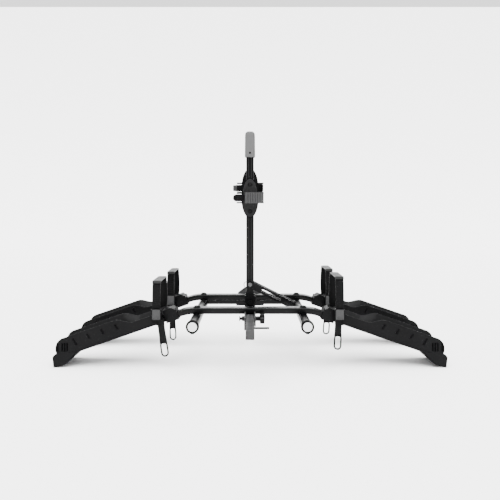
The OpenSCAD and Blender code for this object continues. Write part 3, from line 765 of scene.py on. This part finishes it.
def make_tray(corner, sizes):
    """A wheel tray: a closed section (outer wall, rim, inner slope, channel floor, and the same
    again three millimetres inside) carried along the arm, its height following the wall's top
    and lifting into an end wall at the outer end."""
    arm = Arm(corner, sizes)
    low, high = box_of("tray_" + corner)
    half = (high[1] - low[1]) / 2
    thick = sizes.tray_wall / MM
    u = np.unique(np.concatenate([np.linspace(TRAY_IN, TRAY_OUT, 190), TRAY_OUT - 44 + 44 * np.sin(
        np.linspace(0.1, 1.4, 16))]))
    v, w = tray_section(u, half)
    outer_v = np.concatenate([v, -v[:, -2::-1]], axis=1)
    outer_w = np.concatenate([w, w[:, -2::-1]], axis=1)
    across = np.gradient(outer_v, axis=1)
    rise = np.gradient(outer_w, axis=1)
    length = np.maximum(np.hypot(across, rise), 1e-6)
    inner_v = outer_v + rise / length * -thick
    inner_w = np.minimum(outer_w + across / length * thick, outer_w)
    held = np.sign(outer_v) * np.minimum(np.abs(inner_v), half - thick)
    inner_v = np.where(np.abs(outer_v) > half - 8, held, inner_v)
    inner_w = np.maximum(inner_w, -SKIRT)
    loop_v = np.concatenate([outer_v, inner_v[:, ::-1]], axis=1)
    loop_w = np.concatenate([outer_w, inner_w[:, ::-1]], axis=1)
    shell = Shell()
    shell.tube(arm.world(u[:, None], loop_v, loop_w))
    end_top = wall_top(np.array([TRAY_OUT]))[0] - 0.5
    end = round_rect(2 * half - 3, end_top + SKIRT - 1, 4, 5)
    back = arm.world(np.full(len(end), TRAY_OUT - 2.4), end[:, 0], end[:, 1] + (end_top - SKIRT) / 2)
    front = arm.world(np.full(len(end), TRAY_OUT - 0.2), end[:, 0], end[:, 1] + (end_top - SKIRT) / 2)
    shell.tube(np.stack([back, front]))
    add_piece("tray_" + corner + "_surface", shell, "platform", "tray_plastic", "tray_" + corner,
              sharp=40)


def make_feet(sizes):
    """The four end feet: one outline in X and Z between two places along Y, with eased edges."""
    low, high = box_of("tray_feet")
    shell = Shell()
    for corner in CORNERS:
        arm = Arm(corner, sizes)
        tray_low, tray_high = box_of("tray_" + corner)
        half = (tray_high[1] - tray_low[1]) / 2 + 2.5
        out = high[0]
        floor = low[2]
        corners = [(out, floor + 42), (out - 8, floor + 52), (out - 38, floor + 62),
                   (out - 102, floor + 60), (out - 76, floor + 33), (out - 62, floor + 19),
                   (out - 50, floor + 11), (out - 44, floor + 8), (out - 40, floor + 8),
                   (out - 36, floor + 5), (out - 5, floor)]
        outline = round_loop(corners, 4.0, 5)
        rings = slab_rings(outline, arm.y - half, arm.y + half, 3.0, 6)
        points = rings[..., [0, 2, 1]]
        points[..., 0] *= arm.side
        shell.tube(points)
    add_piece("tray_feet_surface", shell, "platform", "tray_plastic", "tray_feet", sharp=40)


class RACK_OT_trays(bpy.types.Operator):
    """Make the four wheel trays and their end feet"""

    bl_idname = "rack.trays"
    bl_label = "Trays"

    def execute(self, context):
        sizes = context.scene.rack_sizes
        for corner in CORNERS:
            make_tray(corner, sizes)
        make_feet(sizes)
        return {"FINISHED"}


# ---------- wheel straps and levers ----------

def band_rings(path, normal, across, half, thick, teeth=0.0, pitch=9.0, rim=4.0):
    """Rings of a strap: a flat section whose two edges stand proud as rims, with teeth across
    between them wherever the distance along the path falls in the first half of each pitch.
    normal points to the toothed face; half may change along the path."""
    step = np.linalg.norm(np.diff(path, axis=0), axis=1)
    along = np.concatenate([[0], np.cumsum(step)])
    tooth = np.clip(1.6 * np.sin(2 * np.pi * along / pitch) + 0.5, 0, 1) * teeth
    half = np.broadcast_to(half, (len(path),))
    rows = []
    for h, t in zip(half, tooth):
        mid = thick - teeth + t
        rows.append([(-h, 0.5), (-h, thick - 0.7), (-h + 0.7, thick), (-h + rim - 0.6, thick),
                     (-h + rim, mid), (0, mid), (h - rim, mid), (h - rim + 0.6, thick), (h - 0.7, thick),
                     (h, thick - 0.7), (h, 0.5), (h - 0.6, 0), (0, 0), (-h + 0.6, 0)])
    return sweep(np.array(rows), path, across, normal)


def path_normals(path, plane_normal):
    """The normals of a flat path: its direction turned a quarter about the plane's normal."""
    ahead = np.gradient(path, axis=0)
    ahead /= np.linalg.norm(ahead, axis=1, keepdims=True)
    return np.cross(ahead, plane_normal)


def make_strap(corner):
    """One wheel strap: a ladder band up the near side of the tray, over in a round-shouldered
    loop and down the far side, a tapered tail, a long ring at the tail's end, and a rubber cap.
    The loop bows sideways by half a sine wave of the height, a little outward at the near leg
    and more inward at the far one."""
    low, high = box_of("strap_" + corner)
    tail_low, loop_top = low[2], high[2]
    side = side_of(corner)
    half_w = 16.5
    x = side * (side * (high[0] if side > 0 else low[0]) - half_w)
    thick = 4.0
    near, far = low[1], high[1]
    radius = 24.0
    shell = Shell()
    corners = [(near + thick, -30.0), (near + thick, loop_top - thick),
               (far - thick, loop_top - thick), (far - thick, -4.0)]
    flat = round_corners(np.array(corners), [radius * 0.6, radius], count=14, edge=1)
    length = np.concatenate([[0], np.cumsum(np.linalg.norm(np.diff(flat, axis=0), axis=1))])
    count = int(length[-1] / 1.5)
    even = np.linspace(0, length[-1], count)
    flat = np.column_stack([np.interp(even, length, flat[:, k]) for k in (0, 1)])
    bow = np.sin(np.pi * np.clip((flat[:, 1] + 10) / (loop_top + 10), 0, 1)) * (flat[:, 1] > -10)
    across = (flat[:, 0] - near) / (far - near)
    path = np.column_stack([x + side * bow * (2.0 - 6.5 * across), flat[:, 0], flat[:, 1]])
    normal = path_normals(path, np.array([-1.0, 0.0, 0.0]))
    shell.tube(band_rings(path, normal, (1, 0, 0), half_w, thick - 0.1, 1.1, 8.5))
    inward = -side
    ring_x = (low[0] if side > 0 else high[0]) - 16 * inward
    end_z = tail_low + 16
    start = np.array([x + 0.42 * (ring_x - x), near, -2.0])
    tilt = math.atan2(start[0] - ring_x, start[2] - end_z)
    down = np.array([-math.sin(tilt), 0.0, -math.cos(tilt)])
    side_way = np.array([math.cos(tilt), 0.0, -math.sin(tilt)])
    stop = np.array([ring_x, near, end_z]) - down * (29 + 10)
    t = np.linspace(0, 1, 24)[:, None]
    blend = t * t * (3 - 2 * t)
    tail = start * (1 - t) + stop * t
    half = np.interp(t[:, 0], [0, 0.12, 0.4, 0.8, 1], [16.5, 15.4, 13.8, 14.2, 15.6])
    ways = np.array([1.0, 0, 0]) * (1 - blend) + side_way * blend
    shell.tube(band_rings(tail, (0, -1, 0) + np.zeros((24, 3)), ways, half, thick - 0.1, 0.8, 400.0)
               + np.array([0, thick, 0]))
    wide, long = 13.0, 29.0 + 1.5
    turn = np.linspace(0, np.pi, 15)
    loop = np.vstack([np.column_stack([wide * np.cos(turn), wide * np.sin(turn)]),
                      np.column_stack([-wide * np.cos(turn), -long - wide * np.sin(turn)])])
    ring = (np.array([ring_x, near + thick / 2, end_z]) + loop[:, :1] * side_way + loop[:, 1:] * down)
    ahead = np.roll(ring, -1, axis=0) - np.roll(ring, 1, axis=0)
    ahead /= np.linalg.norm(ahead, axis=1, keepdims=True)
    outward = np.cross(ahead, (0, 1, 0))
    shell.tube(sweep(round_rect(6.2, thick - 0.2, 1.0, 4), ring, outward, (0, 1, 0)), closed=True)
    add_piece("strap_" + corner + "_surface", shell, "strap_" + corner, "strap_rubber",
              "strap_" + corner, sharp=38)
    make_strap_cap(corner, x, near, far, loop_top, radius)


def make_strap_cap(corner, x, near, far, top, radius):
    """The cap over the loop's top: a band with rounded edges that follows the loop's shoulders,
    thickened to a lip at both ends."""
    corners = np.array([(near - 0.6, top - 9), (near - 0.2, top + 0.2), (far + 0.2, top + 0.2),
                        (far + 0.2, top - 24)])
    flat = round_corners(corners, [radius * 0.6, radius + 2], count=16, edge=10)
    path = np.column_stack([np.full(len(flat), x), flat[:, 0], flat[:, 1]])
    normal = path_normals(path, np.array([-1.0, 0.0, 0.0]))
    count = len(path)
    lip = np.minimum(np.arange(count), np.arange(count)[::-1])
    thick = np.where(lip < 3, 3.4, 2.2)
    half = np.where(lip < 3, 20.0, 17.4)
    edge = np.linspace(-1, 1, 15)
    rows = []
    for h, k in zip(half, thick):
        crown = np.column_stack([h * edge, k * (1 - 0.55 * np.abs(edge) ** 4) - 0.4])
        rows.append(np.vstack([crown, [(h * 0.98, -1.6), (0, -1.8), (-h * 0.98, -1.6)]]))
    shell = Shell()
    shell.tube(sweep(np.array(rows), path, (1, 0, 0), normal))
    add_piece("strap_cap_" + corner, shell, "strap_" + corner, "strap_rubber", sharp=40,
              finish="strap_cap")


def make_strap_lever(corner):
    """A wheel strap's lever: a rounded plate with a raised panel and three thumb ribs near its
    lower end, and two cheeks behind it that hold the pin."""
    low, high = box_of("lever_" + corner)
    x = (low[0] + high[0]) / 2
    width = high[0] - low[0]
    height = high[2] - low[2]
    z = (low[2] + high[2]) / 2
    shell = Shell()
    plate = slab_rings(round_rect(width, height, 4.5, 6), low[1] + 1.0, low[1] + 5.0, 1.2, 4)
    shell.tube(plate[..., [0, 2, 1]] + (x, 0, z))
    panel = slab_rings(round_rect(width - 8, height - 16, 3, 5), low[1] + 0.3, low[1] + 3, 0.6, 3)
    shell.tube(panel[..., [0, 2, 1]] + (x, 0, z + 3))
    for k in range(3):
        rib = slab_rings(round_rect(width - 10, 1.8, 0.8, 4), low[1], low[1] + 3, 0.5, 3)
        shell.tube(rib[..., [0, 2, 1]] + (x, 0, low[2] + 3.4 + 3.2 * k))
    depth = high[1] - low[1]
    for way in (-1, 1):
        cheek = round_loop([(low[1] + 3, low[2] + 12), (low[1] + 3, high[2] - 3),
                            (high[1] - 1, high[2] - 3), (high[1] - 0.5, high[2] - 12),
                            (low[1] + 0.45 * depth, low[2] + 14)], 3, 5)
        edge = x + way * (width / 2 - 1.6)
        rings = slab_rings(cheek, edge - 1.3, edge + 1.3, 0.5, 3)
        shell.tube(rings[..., [2, 0, 1]])
    add_piece("lever_" + corner + "_surface", shell, "lever_" + corner, "grey_plastic",
              "lever_" + corner, sharp=40)


class RACK_OT_straps(bpy.types.Operator):
    """Make the four wheel straps, their caps and their levers"""

    bl_idname = "rack.straps"
    bl_label = "Wheel Straps"

    def execute(self, context):
        for corner in CORNERS:
            make_strap(corner)
            make_strap_lever(corner)
        return {"FINISHED"}


# ---------- frame clamps ----------

BOLT_OUT, BOLT_UP = 17.4, 60.0


class Clamp:
    """A frame clamp's own frame: x across, out away from the mast's face, z up from its middle."""

    def __init__(self, end):
        self.end = end
        low, high = box_of(end + "_clamp_plate")
        self.z = (low[2] + high[2]) / 2
        mast_low, mast_high = box_of("mast_tube")
        self.x = (mast_low[0] + mast_high[0]) / 2
        self.way = -1 if end == "front" else 1
        self.face = mast_low[1] if end == "front" else mast_high[1]

    def world(self, points):
        """World points from (x, out, z) in the clamp's own frame."""
        points = np.array(points, float)
        points[..., 0] += self.x
        points[..., 1] = self.face + self.way * points[..., 1]
        points[..., 2] += self.z
        return points


def make_clamp_pad(clamp):
    """The oval pad: an ellipse between its back and its face with a wide rounded rim, a shallow
    bead round the face, and a face that rises a little towards its middle."""
    low, high = box_of(clamp.end + "_clamp_pad")
    width, height = high[0] - low[0], high[2] - low[2]
    front = max(abs(low[1] - clamp.face), abs(high[1] - clamp.face)) - 1.0
    back = min(abs(low[1] - clamp.face), abs(high[1] - clamp.face))
    angle = np.linspace(0, 2 * np.pi, 96, endpoint=False)
    ellipse = np.column_stack([width / 2 * np.cos(angle), height / 2 * np.sin(angle)])
    rings = slab_rings(ellipse, back, front, 4.0, 7)
    inner = [np.column_stack([ellipse * s, np.full(96, front + d)])
             for s, d in ((0.84, 0.0), (0.82, 0.8), (0.79, 0.8), (0.77, 0.1), (0.4, 0.25), (0.02, 0.3))]
    rings = np.concatenate([rings, np.stack(inner)])
    shell = Shell()
    shell.tube(clamp.world(rings[..., [0, 2, 1]]))
    pad = add_piece(clamp.end + "_clamp_pad_surface", shell, "mast", "grey_rubber",
                    clamp.end + "_clamp_pad", sharp=40)


def make_clamp_bolts(clamps):
    """The clamps' four button-head bolts, each a low dome with a round socket in a thin
    washer."""
    shell = Shell()
    for clamp in clamps:
        for way in (-1, 1):
            centre = clamp.world(np.array([0.0, BOLT_OUT, way * BOLT_UP]))
            axis = (0, -clamp.way, 0)
            head = [(0.2, 1.4), (2.6, 1.4), (3.0, -0.2), (4.6, -0.6), (6.4, -0.1), (7.4, 0.9),
                    (7.6, 2.4)]
            shell.tube(lathe_rings(head, centre, axis, 36))
            washer = [(7.7, 0.5), (9.2, -0.1), (10.4, 0.3), (10.8, 1.2), (10.6, 2.2), (7.7, 2.2)]
            shell.tube(lathe_rings(washer, centre, axis, 40), caps=False)
    add_piece("clamp_bolts_surface", shell, "mast", "dark_steel", "clamp_bolts", sharp=30)


def make_clamp_strap(clamp):
    """A clamp's strap: a ladder band that comes out beside the plate, turns and runs across the
    face to a tail, whose half width follows an ellipse down to five millimetres."""
    low, high = box_of(clamp.end + "_clamp_strap")
    width = high[2] - low[2]
    right, left = high[0] - clamp.x - 4.0, low[0] - clamp.x
    corners = np.array([(right, 3.0), (right, 43.0), (left + 1.0, 43.0)])
    flat = round_corners(corners, [9.0], count=10, edge=1)
    length = np.concatenate([[0], np.cumsum(np.linalg.norm(np.diff(flat, axis=0), axis=1))])
    even = np.linspace(0, length[-1], int(length[-1] / 1.1))
    flat = np.column_stack([np.interp(even, length, flat[:, k]) for k in (0, 1)])
    tail = np.clip((left + 15.5 - flat[:, 0]) / 15.5, 0, 0.995)
    half = np.where(flat[:, 1] > 40, width / 2 * np.sqrt(1 - tail ** 2), width / 2)
    half = np.maximum(half, 5.0)
    path = np.column_stack([flat[:, 0], flat[:, 1], np.zeros(len(flat))])
    ahead = np.gradient(path, axis=0)
    ahead /= np.linalg.norm(ahead, axis=1, keepdims=True)
    normal = np.cross(ahead, (0, 0, -1.0))
    normal *= np.sign(normal[-1, 1])
    rings = band_rings(path, normal, (0, 0, 1), half, 3.0, 1.1, 6.5, 3.5)
    shell = Shell()
    shell.tube(clamp.world(rings))
    add_piece(clamp.end + "_clamp_strap_surface", shell, "mast", "strap_rubber",
              clamp.end + "_clamp_strap", sharp=38)
    if clamp.end == "rear":
        end = slab_rings(round_rect(19, 28, 4.5, 6) + (-69.5, 0), 38.6, 46.6, 1.6, 5)
        shell = Shell()
        shell.tube(clamp.world(end[..., [0, 2, 1]]))
        add_piece("rear_clamp_strap_end", shell, "mast", "grey_plastic", sharp=40)


def make_clamp_lever(clamp):
    """A clamp's lever: a plate whose outer face is cut by upright grooves, each a bell curve
    deep, between two side cheeks, with eased ends."""
    low, high = box_of(clamp.end + "_clamp_lever")
    x0, x1 = low[0] - clamp.x, high[0] - clamp.x
    height = high[2] - low[2]
    x = np.linspace(x0 + 2.5, x1 - 5, 150)
    pitch, spread = 10.5, 1.9
    wave = 1 - np.exp(-(((x - x0 - 9) % pitch - pitch / 2) / spread) ** 2) * 1.6
    keep = np.clip((x - x0 - 3) / 3, 0, 1) * np.clip((x1 - 12 - x) / 3, 0, 1)
    out = 59.4 + 2.2 * wave * keep - 1.8 * ((x - (x0 + x1) / 2) / (x1 - x0) * 2) ** 4
    face = np.column_stack([x, out])
    outline = np.vstack([[(x0 + 0.6, 56.8)], face, [(x1 - 2, 57.8), (x1 - 0.3, 55.6), (x1 - 2, 54.6),
                                                   (x1 - 8, 56.2), (x0 + 30, 56.6)]])
    shell = Shell()
    rings = slab_rings(outline, -height / 2, height / 2, 0.5, 4)
    shell.tube(clamp.world(rings))
    for way in (-1, 1):
        cheek = round_loop([(x0, 59.2), (x1 - 6, 59.2), (x1 - 2, 56.5), (x1 - 10, 51), (x0 + 22, 47.0),
                            (x0 + 1, 47.0)], 3.0, 5)
        edge = way * (height / 2 - 2.2)
        shell.tube(clamp.world(slab_rings(cheek, edge - 2.1, edge + 2.1, 0.9, 4)))
    add_piece(clamp.end + "_clamp_lever_surface", shell, clamp.end + "_lever", "grey_plastic",
              clamp.end + "_clamp_lever", sharp=40)


class RACK_OT_clamps(bpy.types.Operator):
    """Make the two frame clamps' pads, bolts, straps and levers"""

    bl_idname = "rack.clamps"
    bl_label = "Frame Clamps"

    def execute(self, context):
        clamps = [Clamp("front"), Clamp("rear")]
        make_clamp_bolts(clamps)
        for clamp in clamps:
            make_clamp_pad(clamp)
            make_clamp_strap(clamp)
            make_clamp_lever(clamp)
        return {"FINISHED"}


# ---------- knob, rail ends and bolt caps ----------

def make_knob():
    """The tilt knob: a six-lobed outline, its radius the mean plus a cosine of six times the
    angle, between two places along X with rounded rims, and a turned hub."""
    low, high = box_of("pivot_knob")
    centre = (low + high) / 2
    radius = (high[2] - low[2]) / 2
    angle = np.linspace(0, 2 * np.pi, 120, endpoint=False)
    lobes = radius - 2.4 + 2.4 * np.cos(6 * angle)
    outline = np.column_stack([lobes * np.cos(angle), lobes * np.sin(angle)])
    rings = slab_rings(outline, high[0] - 20, high[0] - 1.0, 3.5, 7)
    shell = Shell()
    shell.tube(rings[..., [2, 0, 1]] + (0, centre[1], centre[2]))
    hub = [(7.0, low[0]), (9.6, low[0] + 0.8), (10.0, high[0] - 22), (12.5, high[0] - 19),
           (7, high[0] - 18)]
    shell.tube(lathe_rings(hub, (0, centre[1], centre[2]), (1, 0, 0), 40))
    boss = [(0.2, high[0] - 2), (9.5, high[0] - 2), (10.0, high[0] - 0.4), (9.0, high[0]),
            (0.2, high[0])]
    shell.tube(lathe_rings(boss, (0, centre[1], centre[2]), (1, 0, 0), 40))
    add_piece("pivot_knob_surface", shell, "tilt_knob", "knob_plastic", "pivot_knob", sharp=40)


def make_rail_ends():
    """The side rails' ends: a turned ring with a rounded lip and a small rounded tab below, and
    a slightly domed disc with an eased rim."""
    ring_low, ring_high = box_of("rail_rings")
    disc_front = box_of("rail_discs")[0][1]
    rings, discs = Shell(), Shell()
    for side in ("left", "right"):
        low, high = box_of("side_rail_" + side)
        centre = (low + high) / 2
        radius = ring_high[2] - centre[2]
        front, back = ring_low[1], ring_high[1]
        middle_at = (centre[0], 0.0, centre[2])
        profile = [(radius - 8, front + 7.5), (radius - 8, front + 1.2), (radius - 6.8, front + 0.2),
                   (radius - 3, front), (radius - 1, front + 0.8), (radius, front + 2.6),
                   (radius, back - 2), (radius - 1.5, back - 0.4), (radius - 4.8, back)]
        rings.tube(lathe_rings(profile, middle_at, (0, 1, 0), 64), caps=False)
        drop = centre[2] - ring_low[2]
        tab = round_loop([(-9, -radius + 3), (9, -radius + 3), (6.5, -drop), (-6.5, -drop)], 2.0, 5)
        slab = slab_rings(tab, front + 1.5, back - 1, 1.2, 4)
        rings.tube(slab[..., [0, 2, 1]] + (centre[0], 0, centre[2]))
        disc_r = radius - 8.0
        face = disc_front + 0.6
        dome = [(0.2, face), (disc_r * 0.5, face + 0.12), (disc_r - 2.5, face + 0.5),
                (disc_r - 0.6, face + 1.1), (disc_r, face + 2.2), (disc_r - 1, face + 6)]
        discs.tube(lathe_rings(dome, middle_at, (0, 1, 0), 64))
    add_piece("rail_rings_surface", rings, "platform", "black_plastic", "rail_rings", sharp=40)
    add_piece("rail_discs_surface", discs, "platform", "pale_disc", "rail_discs", sharp=40)


def make_bolt_caps():
    """The four domed caps over the saddle bolts, turned about upright axes with a thin flange."""
    low, high = box_of("bolt_caps")
    base, tall = low[2], high[2] - low[2]
    radius = high[0] - middle("side_rail_right")[0]
    turn = np.linspace(0, np.pi / 2, 9)
    dome = [(radius * 0.82 * math.cos(a) + 0.2, base + 2 + (tall - 2) * math.sin(a)) for a in turn]
    flange = [(radius * 0.9, base), (radius, base + 0.6), (radius, base + 1.5),
              (radius * 0.9, base + 2)]
    shell = Shell()
    for side in ("left", "right"):
        for end in ("front", "rear"):
            place_at = (middle("side_rail_" + side)[0], middle(end + "_cross_tube")[1], 0)
            shell.tube(lathe_rings(flange + dome, place_at, (0, 0, 1), 40))
    add_piece("bolt_caps_surface", shell, "platform", "black_plastic", "bolt_caps", sharp=40)


class RACK_OT_ends(bpy.types.Operator):
    """Make the tilt knob, the side rails' ends and the bolt caps"""

    bl_idname = "rack.ends"
    bl_label = "Knob and Rail Ends"

    def execute(self, context):
        make_knob()
        make_rail_ends()
        make_bolt_caps()
        return {"FINISHED"}


class RACK_PT_panel(bpy.types.Panel):
    """The rack's pieces in the order in which they are made"""

    bl_idname = "RACK_PT_panel"
    bl_label = "Bike Rack"
    bl_space_type = "VIEW_3D"
    bl_region_type = "UI"
    bl_category = "Bike Rack"

    def draw(self, context):
        for operator in OPERATORS:
            self.layout.operator(operator.bl_idname)


OPERATORS = (RACK_OT_stage, RACK_OT_finishes, RACK_OT_tubes, RACK_OT_trays, RACK_OT_straps,
             RACK_OT_clamps, RACK_OT_ends)
GROUPS = (RackLook, RackSizes, RackStage)


def register():
    for item in GROUPS + OPERATORS + (RACK_PT_panel,):
        bpy.utils.register_class(item)
    bpy.types.Scene.rack_look = PointerProperty(type=RackLook)
    bpy.types.Scene.rack_sizes = PointerProperty(type=RackSizes)
    bpy.types.Scene.rack_stage = PointerProperty(type=RackStage)


def unregister():
    del bpy.types.Scene.rack_stage
    del bpy.types.Scene.rack_sizes
    del bpy.types.Scene.rack_look
    for item in reversed(GROUPS + OPERATORS + (RACK_PT_panel,)):
        bpy.utils.unregister_class(item)


def main():
    """Builds everything."""
    register()
    for operator in OPERATORS:
        group, name = operator.bl_idname.split(".")
        getattr(getattr(bpy.ops, group), name)()


if __name__ == "__main__":
    main()
